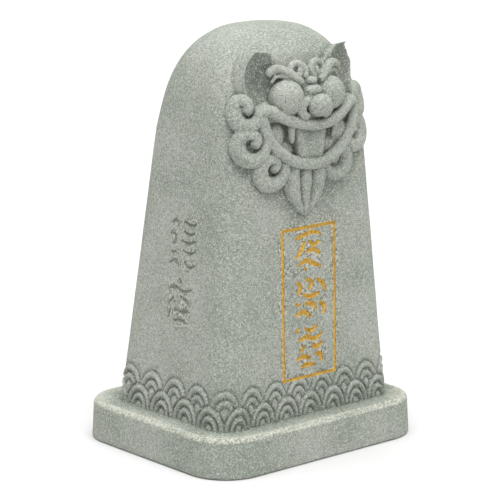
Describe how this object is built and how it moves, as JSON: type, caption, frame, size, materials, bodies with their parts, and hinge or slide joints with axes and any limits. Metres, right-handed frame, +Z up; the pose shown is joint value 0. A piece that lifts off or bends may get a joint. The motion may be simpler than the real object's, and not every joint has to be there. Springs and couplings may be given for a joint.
{
  "type": "carved stone warding tablet",
  "caption": "Upright tapered stone tablet with a domed top and rounded slab foot, carved with a grinning guardian lion mask, wave scales and a framed panel of gilded brush marks.",
  "frame": {"origin": "middle of the slab's flat underside", "axes": "+Z up the tablet, mask and framed panel face -Y, marks without paint on the -X side"},
  "size_m": [0.1312, 0.11, 0.2],
  "materials": {
    "stone": "matte grey-green granular stone with fine light and dark grains; the cut frame and brush marks on the front carry worn gold paint"
  },
  "bodies": {
    "root": {"guardian_stone": "stone"}
  },
  "joints": []
}
